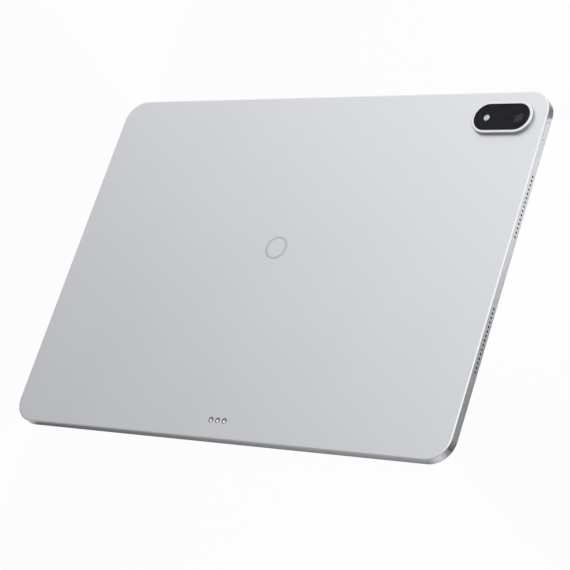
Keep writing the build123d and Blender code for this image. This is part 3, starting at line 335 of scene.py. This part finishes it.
def printed_ink(name):
    """Black ink printed on the back of glass, with almost no shine of its own."""
    f = Finish(name, Specular_IOR_Level=0.08)
    screen = f.noise(3800.0, 1.0)
    return f.drive(
        Base_Color=f.blend(screen, (0.0035, 0.0035, 0.004), (0.0075, 0.0075, 0.008)),
        Roughness=0.42 + screen * 0.12,
    )


def tape_and_bond():
    """Black foam tape round the edge, and inside it the clear bond, which shows nothing."""
    f = Finish("display_tape_and_bond", Roughness=0.6)
    inside_x = f.step(tape_inside.x - abs(f.x), -0.02 * MM, 0.02 * MM)
    inside_y = f.step(tape_inside.y - abs(f.y), -0.02 * MM, 0.02 * MM)
    foam = f.noise(6000.0, 2.0)
    return f.drive(
        Base_Color=f.blend(foam, (0.010, 0.010, 0.011), (0.030, 0.030, 0.032)),
        Alpha=1.0 - inside_x * inside_y,
    )


def display_off():
    """The panel with its light off: nearly black, with the fine stripe of its cells."""
    f = Finish("display_panel", IOR=1.5)
    stripes_to_a_metre, rows_to_a_metre = 12000.0, 4000.0
    stripe = (f.x * stripes_to_a_metre) % 1.0
    row = (f.y * rows_to_a_metre) % 1.0
    cell = (stripe > 0.12) * (row > 0.10)
    cloud = f.noise(9.0, 2.0)
    lit = cell * (0.8 + cloud * 0.2)
    return f.drive(
        Base_Color=f.blend(lit, (0.004, 0.004, 0.005), (0.017, 0.019, 0.023)),
        Roughness=0.30 + cloud * 0.05,
    )


def solder_mask(name, mask, copper):
    """Circuit board: copper tracks and pads under a coloured lacquer."""
    f = Finish(name, Coat_Weight=0.4, Coat_Roughness=0.2)
    crazed = {"Vector": f.place, "Scale": 620.0}
    cells = f.node("ShaderNodeTexVoronoi", {"feature": "DISTANCE_TO_EDGE"}, crazed)
    lanes = {"Vector": f.place, "Scale": 420.0}
    tracks = f.node("ShaderNodeTexBrick", {"offset": 0.5}, lanes, "Fac")
    copper_share = f.step(cells, 0.05, 0.02) * 0.6 + tracks * 0.3
    return f.drive(
        Base_Color=f.blend(copper_share, mask, copper),
        Roughness=0.34 + f.noise(300.0) * 0.15,
        Normal=f.bump(copper_share, 0.02 * MM, 0.6),
    )


def flex_circuit(name):
    """Amber film over copper tracks that run side by side."""
    f = Finish(name, Coat_Weight=0.5, Coat_Roughness=0.15)
    lane = ((f.x + f.y) * 1800.0) % 1.0
    track = f.step(abs(lane - 0.5), 0.22, 0.28)
    return f.drive(
        Base_Color=f.blend(track, (0.24, 0.095, 0.018), (0.52, 0.26, 0.06)),
        Roughness=0.30 + f.noise(500.0) * 0.12,
    )


def milky_optic(name, colour):
    """Frosted optical plastic that spreads light."""
    f = Finish(name, Subsurface_Weight=0.35, Subsurface_Scale=1.0 * MM, IOR=1.49)
    haze = f.noise(1400.0, 2.0)
    return f.drive(
        Base_Color=f.blend(haze, tuple(0.94 * c for c in colour), colour),
        Roughness=0.22 + haze * 0.12,
    )


def phosphor():
    """The yellow cap of a white light-emitting diode."""
    f = Finish("led_phosphor")
    grain = f.noise(5000.0, 2.0)
    return f.drive(
        Base_Color=f.blend(grain, (0.72, 0.60, 0.16), (0.93, 0.86, 0.42)),
        Roughness=0.5 + grain * 0.2,
    )


def wrapped_pouch():
    """Battery pouch: dark laminated foil, quilted by what is rolled up inside it."""
    f = Finish("battery_wrap", Coat_Weight=0.3, Coat_Roughness=0.35)
    quilt = f.noise(120.0, 2.0, (1.0, 0.2, 1.0))
    grain = f.noise(2200.0, 2.0)
    foil = quilt * 0.4 + grain * 0.6
    return f.drive(
        Base_Color=f.blend(foil, (0.018, 0.018, 0.020), (0.050, 0.050, 0.054)),
        Roughness=0.42 + grain * 0.14,
        Normal=f.bump(quilt, 0.04 * MM, 0.4),
    )


shell_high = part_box("rear_housing")[1]
shell_corner = 13.2 * MM
edge_round = 0.72 * MM
wall_foot = 0.5 * MM
wall_depth = 1.16 * MM
lens_radius = 2.25 * MM
tape_width = 1.32 * MM
bezel_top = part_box("camera_bezel")[1].z
lens_low, lens_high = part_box("camera_lens_glass")
lens_spot = (lens_low + lens_high) / 2
flash_low, flash_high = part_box("flash_lens")
flash_spot = (flash_low + flash_high) / 2
tape_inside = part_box("display_adhesive")[1] - Vector((tape_width, tape_width, 0.0))

silver = shell_aluminium()
key_silver = blasted_aluminium(
    "key_blasted_aluminium", (0.80, 0.81, 0.83), (0.87, 0.88, 0.90), 0.30
)
collar = turned_bezel()
emblem = polished_ring()
window_pane = clear_pane("camera_window_glass", (0.93, 0.94, 0.96), 0.015, 0.22)
screen_pane = clear_pane("screen_glass", (0.90, 0.91, 0.93), 0.02, 1.0)
ink = printed_ink("printed_black_ink")
black_frame = moulded(
    "frame_black_polymer", (0.010, 0.010, 0.011), (0.022, 0.022, 0.024), 0.46
)
black_plastic = moulded("black_moulding", (0.008, 0.008, 0.009), (0.018, 0.018, 0.019), 0.38)
black_rubber = moulded("black_rubber", (0.012, 0.012, 0.012), (0.024, 0.024, 0.024), 0.62)
chip_epoxy = moulded(
    "chip_epoxy", (0.018, 0.018, 0.019), (0.045, 0.045, 0.047), 0.50, 0.12 * MM
)
cone_composite = moulded(
    "speaker_cone_composite", (0.030, 0.030, 0.032), (0.065, 0.065, 0.070), 0.45
)
graphite = moulded(
    "graphite_sheet", (0.055, 0.055, 0.058), (0.120, 0.120, 0.125), 0.36, 0.4 * MM
)
ferrite = moulded("ferrite_and_wire", (0.05, 0.048, 0.046), (0.12, 0.115, 0.11), 0.42)
stamped_steel = plain_metal(
    "stamped_steel", (0.42, 0.42, 0.43), (0.60, 0.60, 0.61), 0.34, 700.0, (1, 0.05, 1)
)
drawn_steel = plain_metal(
    "drawn_stainless", (0.50, 0.50, 0.51), (0.66, 0.66, 0.67), 0.24, 1600.0, (0.1, 1, 1)
)
nickel = plain_metal("nickel_plate", (0.48, 0.46, 0.43), (0.62, 0.60, 0.57), 0.22)
gold = plain_metal("contact_gold", (0.78, 0.62, 0.34), (0.92, 0.78, 0.50), 0.22, 2600.0)
mesh_steel = plain_metal("grille_wire", (0.02, 0.02, 0.021), (0.05, 0.05, 0.052), 0.45, 3000.0)
contact_plate = plain_metal(
    "contact_plating", (0.80, 0.79, 0.77), (0.92, 0.91, 0.89), 0.20, 2600.0
)
board_blue = solder_mask("board_solder_mask", (0.006, 0.020, 0.034), (0.30, 0.22, 0.10))
amber_flex = flex_circuit("amber_flex_circuit")
film_white = milky_optic("diffuser_film", (0.86, 0.87, 0.88))
guide_clear = milky_optic("light_guide_acrylic", (0.90, 0.92, 0.93))
flash_white = milky_optic("flash_light_pipe", (0.93, 0.93, 0.91))
yellow = phosphor()

finish_of = {
    silver: ("rear_housing",),
    key_silver: ("power_key", "volume_key"),
    collar: ("camera_bezel",),
    emblem: ("back_emblem",),
    window_pane: ("camera_window",),
    screen_pane: ("cover_glass",),
    lens_coating(): ("camera_lens_glass",),
    ink: ("border_mask", "camera_window_gasket"),
    tape_and_bond(): ("display_adhesive",),
    display_off(): ("lcd_cell",),
    black_frame: ("inner_frame",),
    black_plastic: (
        "camera_housing",
        "dock_contact_holder",
        "front_camera",
        "usb_tongue",
        "speaker_box_left_lower",
        "speaker_box_left_upper",
        "speaker_box_right_lower",
        "speaker_box_right_upper",
    ),
    black_rubber: ("usb_seal", "speaker_surrounds"),
    chip_epoxy: ("board_components", "key_switches"),
    cone_composite: (
        "speaker_diaphragm_left_lower",
        "speaker_diaphragm_left_upper",
        "speaker_diaphragm_right_lower",
        "speaker_diaphragm_right_upper",
    ),
    graphite: ("heat_spreader",),
    ferrite: ("pen_charging_coil",),
    stamped_steel: ("backlight_tray", "shield_cans", "key_brackets", "camera_bracket"),
    drawn_steel: ("usb_shell", "housing_screws", "power_switch_dome", "volume_switch_domes"),
    nickel: ("magnets", "speaker_magnets"),
    contact_plate: ("dock_contacts",),
    board_blue: (
        "battery_board",
        "camera_sensor_board",
        "main_board",
        "panel_driver_board",
        "usb_board",
    ),
    amber_flex: ("antennas", "display_flex", "flex_circuits", "key_flex"),
    film_white: ("optical_films",),
    guide_clear: ("light_guide",),
    yellow: ("backlight_leds", "flash_led"),
    wrapped_pouch(): ("battery_cell_left", "battery_cell_right"),
}
for finish, names in finish_of.items():
    for name in names:
        mesh = nodes[name].data
        mesh.materials.clear()
        mesh.materials.append(finish)


# ---- Small parts turned on an upright axis ---------------------------------------------------
def turned(name, profile, centres, finish, steps=64):
    """A closed ring or disc round each centre, from (radius, height) pairs in millimetres."""
    bm = bmesh.new()
    for centre in centres:
        rings = []
        for radius, height in profile:
            ring = []
            for step in range(steps if radius > 0.0 else 1):
                angle = math.tau * step / steps
                x = centre[0] + radius * MM * math.cos(angle)
                y = centre[1] + radius * MM * math.sin(angle)
                ring.append(bm.verts.new((x, y, height * MM)))
            rings.append(ring)
        for lower, upper in zip(rings, rings[1:] + rings[:1]):
            if len(lower) == 1 and len(upper) == 1:
                continue
            for step in range(steps):
                following = (step + 1) % steps
                corners = [lower[step % len(lower)], lower[following % len(lower)]]
                corners += [upper[following % len(upper)], upper[step % len(upper)]]
                # A ring of one point gives the same corner twice.
                bm.faces.new(list(dict.fromkeys(corners)))
    bmesh.ops.recalc_face_normals(bm, faces=bm.faces)
    mesh = bpy.data.meshes.new(name)
    bm.to_mesh(mesh)
    bm.free()
    mesh.materials.append(finish)
    mesh.shade_smooth()
    piece = bpy.data.objects.new(name, mesh)
    bpy.context.scene.collection.objects.link(piece)
    return piece


def crisp(piece, degrees=35.0):
    """Keeps the edges of a turned piece sharp where its profile turns a corner."""
    piece.data.set_sharp_from_angle(angle=math.radians(degrees))


# The lens barrel: an outer sleeve, and baffle rings that step down to the glass.
barrel_low, barrel_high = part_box("camera_barrel")
top = barrel_high.z / MM
bottom = barrel_low.z / MM
glass_seat = lens_low.z / MM
sleeve, bore, seat = 3.1, 1.8, 2.28
tread, riser, drop = 0.17, 0.07, 0.09
baffles = []
for ring in range(4):
    outer = 2.95 - ring * tread
    height = top - 0.08 - ring * drop
    baffles += [(outer, height), (outer - 0.10, height)]
    baffles += [(outer - 0.12, height - riser), (outer - tread, height - riser)]
barrel_profile = [
    (bore, bottom),
    (sleeve - 0.05, bottom),
    (sleeve, bottom + 0.05),
    (sleeve, top - 0.12),
    (sleeve - 0.08, top - 0.02),
    (sleeve - 0.13, top),
    *baffles,
    (seat, top - 0.5),
    (seat, glass_seat),
    (bore, glass_seat),
]
barrel = turned("lens_barrel_with_baffles", barrel_profile, [lens_spot], black_plastic, 96)
crisp(barrel)
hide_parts("camera_barrel")
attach(barrel, "rear_camera_lens")

# The flash's light pipe, with the rings of its lens cut into its face.
pipe_top = flash_high.z / MM
pipe_bottom = flash_low.z / MM
shoulder = pipe_top - 0.08
flange, face_radius = 2.5, 1.7
groove_floor, groove_crest = pipe_top - 0.065, pipe_top - 0.004
grooves = []
for ring in range(8):
    outer = 1.62 - ring * 0.19
    grooves += [(outer, groove_floor), (outer - 0.15, groove_crest)]
pipe_profile = [
    (0.0, pipe_bottom),
    (flange, pipe_bottom),
    (flange, shoulder),
    (face_radius, shoulder),
    (face_radius, pipe_top - 0.01),
    *grooves,
    (0.0, groove_crest),
]
light_pipe = turned("flash_ring_lens", pipe_profile, [flash_spot], flash_white, 72)
crisp(light_pipe, 50.0)
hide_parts("flash_lens")
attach(light_pipe, "tablet")

# The dock's contacts, each with a rolled rim and a dished face.
contact_low, contact_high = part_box("dock_contacts")
contact_y = (contact_low.y + contact_high.y) / 2
foot_radius = 1.6
contact_reach = (contact_high.x - contact_low.x) / 2 - foot_radius * MM
contact_spots = [(step * contact_reach, contact_y) for step in (-1, 0, 1)]
pin_radius = 1.2
foot = contact_low.z / MM
foot_top = foot + 0.3
face = contact_high.z / MM
contact_profile = [
    (0.0, foot),
    (foot_radius, foot),
    (foot_radius, foot_top),
    (pin_radius, foot_top),
    (pin_radius, face - 0.06),
    (1.17, face - 0.015),
    (1.1, face),
    (1.02, face - 0.02),
    (0.85, face - 0.09),
    (0.6, face - 0.15),
    (0.3, face - 0.18),
    (0.0, face - 0.19),
]
dished = turned("dished_dock_contacts", contact_profile, contact_spots, contact_plate, 48)
crisp(dished, 50.0)
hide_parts("dock_contacts")
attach(dished, "tablet")


# ---- What repeats: trees of geometry nodes ---------------------------------------------------
class Pattern:
    """A tree of geometry nodes with named inputs, ending in real geometry with a material."""

    def __init__(self, name, finish, **inputs):
        self.tree = bpy.data.node_groups.new(name, "GeometryNodeTree")
        sockets = self.tree.interface
        sockets.new_socket("Geometry", in_out="OUTPUT", socket_type="NodeSocketGeometry")
        self.finish = finish
        self.values = {}
        kinds = {int: "NodeSocketInt", float: "NodeSocketFloat", tuple: "NodeSocketVector"}
        for label, value in inputs.items():
            socket = sockets.new_socket(label, in_out="INPUT", socket_type=kinds[type(value)])
            self.values[socket.identifier] = value
        self.entry = self.tree.nodes.new("NodeGroupInput")

    def given(self, label):
        """The tree's own input of that name."""
        return self.entry.outputs[label]

    def node(self, kind, settings=None, sockets=None, output=0):
        """Adds a node: its settings first, then the values or links of its sockets."""
        node = self.tree.nodes.new(kind)
        for name, value in (settings or {}).items():
            setattr(node, name, value)
        for name, value in (sockets or {}).items():
            if isinstance(value, bpy.types.NodeSocket):
                self.tree.links.new(value, node.inputs[name])
            elif isinstance(value, list):
                for link in value:
                    self.tree.links.new(link, node.inputs[name])
            else:
                node.inputs[name].default_value = value
        return node.outputs[output]

    def math(self, operation, first, second):
        return self.node("ShaderNodeMath", {"operation": operation}, {0: first, 1: second})

    def whole_steps(self, length, step):
        """How many whole steps go into a length, from the names of the two inputs."""
        return self.math("FLOOR", self.math("DIVIDE", self.given(length), self.given(step)), 0.0)

    def vector(self, **parts):
        return self.node("ShaderNodeCombineXYZ", sockets=parts)

    def row(self, count, start, offset):
        """Points in a straight row."""
        sockets = {"Count": count, "Start Location": start, "Offset": offset}
        return self.node("GeometryNodeMeshLine", {"mode": "OFFSET"}, sockets)

    def wire(self, start, end, radius):
        """A straight wire with five sides."""
        line = self.node("GeometryNodeCurvePrimitiveLine", sockets={"Start": start, "End": end})
        sockets = {"Resolution": 5, "Radius": radius}
        section = self.node("GeometryNodeCurvePrimitiveCircle", sockets=sockets)
        sockets = {"Curve": line, "Profile Curve": section, "Fill Caps": True}
        return self.node("GeometryNodeCurveToMesh", sockets=sockets)

    def repeat(self, points, instance):
        sockets = {"Points": points, "Instance": instance}
        return self.node("GeometryNodeInstanceOnPoints", sockets=sockets)

    def join(self, *geometry):
        return self.node("GeometryNodeJoinGeometry", sockets={"Geometry": list(geometry)})

    def make(self, name, geometry, body, slot, *replaced):
        """Ends the tree, runs it once into a plain mesh, and sets the piece on its body."""
        real = self.node("GeometryNodeRealizeInstances", sockets={"Geometry": geometry})
        sockets = {"Geometry": real, "Material": self.finish}
        painted = self.node("GeometryNodeSetMaterial", sockets=sockets)
        exit_node = self.tree.nodes.new("NodeGroupOutput")
        self.tree.links.new(painted, exit_node.inputs[0])
        carrier = bpy.data.objects.new(name + "_carrier", bpy.data.meshes.new(name + "_seed"))
        bpy.context.scene.collection.objects.link(carrier)
        modifier = carrier.modifiers.new("pattern", "NODES")
        modifier.node_group = self.tree
        for identifier, value in self.values.items():
            modifier[identifier] = value
        bpy.context.view_layer.update()
        graph = bpy.context.evaluated_depsgraph_get()
        mesh = bpy.data.meshes.new_from_object(carrier.evaluated_get(graph))
        bpy.data.objects.remove(carrier)
        mesh.name = name
        piece = bpy.data.objects.new(name, mesh)
        bpy.context.scene.collection.objects.link(piece)
        if replaced:
            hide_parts(*replaced)
        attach(piece, body)
        return piece


def speaker_wire_mesh():
    """Dust mesh behind the four rows of sound holes: two layers of crossed wires."""
    low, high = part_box("speaker_meshes")
    box_low, box_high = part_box("speaker_box_right_upper")
    row_middle = (box_low.y + box_high.y) / 2
    p = Pattern(
        "dust_mesh",
        mesh_steel,
        Length=2.0 * (high.y - row_middle),
        Height=high.z - low.z,
        Pitch=0.26 * MM,
        Wire=0.05 * MM,
        Reach=high.x - 0.1 * MM,
        Centre=row_middle,
        Level=(low.z + high.z) / 2,
    )
    half_length = p.math("MULTIPLY", p.given("Length"), 0.5)
    half_height = p.math("MULTIPLY", p.given("Height"), 0.5)
    low_end = p.math("MULTIPLY", p.given("Length"), -0.5)
    low_side = p.math("MULTIPLY", p.given("Height"), -0.5)
    uprights = p.whole_steps("Length", "Pitch")
    levels = p.whole_steps("Height", "Pitch")
    across = p.wire(p.vector(Z=low_side), p.vector(Z=half_height), p.given("Wire"))
    along = p.wire(p.vector(Y=low_end), p.vector(Y=half_length), p.given("Wire"))
    upright_row = p.row(uprights, p.vector(Y=low_end), p.vector(Y=p.given("Pitch")))
    level_row = p.row(levels, p.vector(Z=low_side), p.vector(Z=p.given("Pitch")))
    panel = p.join(p.repeat(upright_row, across), p.repeat(level_row, along))
    size_x = p.math("MULTIPLY", p.given("Reach"), 2.0)
    size_y = p.math("MULTIPLY", p.given("Centre"), 2.0)
    four = {"Size X": size_x, "Size Y": size_y, "Vertices X": 2, "Vertices Y": 2}
    panels = p.repeat(p.node("GeometryNodeMeshGrid", sockets=four), panel)
    raised = {"Geometry": panels, "Translation": p.vector(Z=p.given("Level"))}
    lifted = p.node("GeometryNodeTransform", sockets=raised)
    return p.make("speaker_dust_meshes", lifted, "tablet", "stainless", "speaker_meshes")


def socket_contacts():
    """Twelve gold pads on each face of the socket's tongue."""
    tongue_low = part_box("usb_tongue")[0]
    p = Pattern(
        "socket_pads",
        gold,
        Count=12,
        Pitch=0.5 * MM,
        Pad=(2.6 * MM, 0.25 * MM, 0.03 * MM),
        First=(tongue_low.x + 1.9 * MM, -2.75 * MM, 2.44 * MM),
        Rise=0.72 * MM,
    )
    pad = p.node("GeometryNodeMeshCube", sockets={"Size": p.given("Pad")})
    line = p.row(p.given("Count"), p.given("First"), p.vector(Y=p.given("Pitch")))
    faces = p.row(2, (0.0, 0.0, 0.0), p.vector(Z=p.given("Rise")))
    pads = p.repeat(faces, p.repeat(line, pad))
    return p.make("socket_contact_pads", pads, "tablet", "gold_contact")


speaker_wire_mesh()
socket_contacts()


# ---- Studio ----------------------------------------------------------------------------------
def floor_finish():
    """A floor nearly white to the camera; in what the tablet's walls mirror, it carries painted
    shade and painted light, graded along the sides and banded round the corners.
    """
    f = Finish("studio_floor", Roughness=0.9, Specular_IOR_Level=0.0)
    beyond_x, beyond_y = beyond_corners(f)
    quarter_turn = math.pi / 2
    turn = beyond_y.math("ARCTAN2", beyond_y, beyond_x) / quarter_turn
    # Painted reflections: light and dark bands round each round corner, for the corners of the
    # walls to mirror.
    mirrored_corner_bands = f.ramp(
        turn,
        (0.0, (0.3, 0.3, 0.3)),
        (0.25, (0.08, 0.08, 0.08)),
        (0.42, (0.5, 0.5, 0.5)),
        (0.6, (1.0, 1.0, 1.0)),
        (0.78, (0.9, 0.9, 0.9)),
        (1.0, (0.4, 0.4, 0.4)),
    )
    at_corner = (beyond_x > 0.0) * (beyond_y > 0.0)
    # Painted shade: dim grey that brightens towards +X, and past the +X end grey that brightens
    # towards +Y, for the walls to mirror.
    along_x = f.step(f.x, -140.0 * MM, 140.0 * MM)
    along_y = f.step(f.y, -80.0 * MM, 50.0 * MM)
    long_side = f.blend(along_x, (0.28, 0.28, 0.28), (0.53, 0.53, 0.535))
    short_side = f.blend(along_y, (0.36, 0.36, 0.36), (0.94, 0.94, 0.95))
    shade = f.blend(f.step(f.x, 125.0 * MM, 146.0 * MM), long_side, short_side)
    mirrored_shade_and_light = f.blend(at_corner * 0.9, shade, mirrored_corner_bands)
    f.drive(Base_Color=f.blend(f.noise(30.0, 2.0) * 0.04, mirrored_shade_and_light, (0.5, 0.5, 0.5)))
    white = f.node("ShaderNodeEmission", sockets={"Color": WHITE, "Strength": 1.0})
    seen = f.node("ShaderNodeLightPath", output="Is Camera Ray")
    whiteness_to_the_eye = 0.97
    paper = f.mix_shaders(seen * whiteness_to_the_eye, f.shader.outputs[0], white.socket)
    # From beneath, the floor isn't in the way.
    beneath = f.node("ShaderNodeNewGeometry", output="Backfacing")
    nothing = f.node("ShaderNodeBsdfTransparent", sockets={"Color": WHITE})
    return f.surface(f.mix_shaders(beneath, paper, nothing.socket))


def add_floor(size=8.0):
    """A square floor a hair under the tablet, so that the two never lie in one plane."""
    mesh = bpy.data.meshes.new("floor")
    half = size / 2
    low = -0.05 * MM
    corners = [(-half, -half, low), (half, -half, low), (half, half, low), (-half, half, low)]
    mesh.from_pydata(corners, [], [(0, 1, 2, 3)])
    mesh.materials.append(floor_finish())
    floor = bpy.data.objects.new("floor", mesh)
    bpy.context.scene.collection.objects.link(floor)


def add_softbox(name, azimuth, elevation, power, size=1.1, distance=2.2):
    """A square lamp that faces the tablet, placed by degrees from +X towards +Y and up."""
    turn, rise = math.radians(azimuth), math.radians(elevation)
    flat = math.cos(rise)
    place = Vector((flat * math.cos(turn), flat * math.sin(turn), math.sin(rise)))
    light = bpy.data.lights.new(name, "AREA")
    light.shape = "SQUARE"
    light.size = size
    light.energy = power
    lamp = bpy.data.objects.new(name, light)
    bpy.context.scene.collection.objects.link(lamp)
    lamp.location = place * distance
    lamp.rotation_euler = (-place).to_track_quat("-Z", "Y").to_euler()


def add_world(middle, slope, lowest, highest):
    """A room whose light rises evenly towards one side, between two brightnesses."""
    world = bpy.data.worlds.new("studio")
    world.use_nodes = True
    tree = world.node_tree
    place = tree.nodes.new("ShaderNodeTexCoord")
    axes = tree.nodes.new("ShaderNodeSeparateXYZ")
    tree.links.new(place.outputs["Generated"], axes.inputs[0])
    x, y, z = (Signal(tree, axes.outputs[axis]) for axis in "XYZ")
    level = x * slope[0] + y * slope[1] + z * slope[2] + middle
    level = level.at_most(highest).at_least(lowest)
    tree.links.new(level.socket, tree.nodes["Background"].inputs["Strength"])
    tree.nodes["Background"].inputs["Color"].default_value = (0.985, 0.99, 1.0, 1.0)
    bpy.context.scene.world = world


def add_camera(place, target, up, focal_length):
    """A camera that looks from place to target, rolled so that up points up in the picture."""
    camera = bpy.data.cameras.new("camera")
    camera.lens = focal_length
    camera.sensor_width = 36.0
    camera.clip_start = 0.01
    camera.clip_end = 50.0
    viewer = bpy.data.objects.new("camera", camera)
    bpy.context.scene.collection.objects.link(viewer)
    back = (Vector(place) - Vector(target)).normalized()
    right = Vector(up).cross(back).normalized()
    turn = Matrix((right, back.cross(right), back)).transposed().to_4x4()
    viewer.matrix_world = Matrix.Translation(place) @ turn
    bpy.context.scene.camera = viewer


add_floor()
add_world(0.26, (2.0, 3.8, 0.40), 0.36, 1.20)
add_softbox("overhead_softbox", 320, 68, 9.0, 2.6)
add_camera(
    place=(0.670342, -0.396617, 0.797496),
    target=(0.011805, -0.011990, 0.003),
    up=(-0.03341, 0.88843, 0.45779),
    focal_length=129.109,
)
bpy.context.scene.view_settings.view_transform = "Standard"
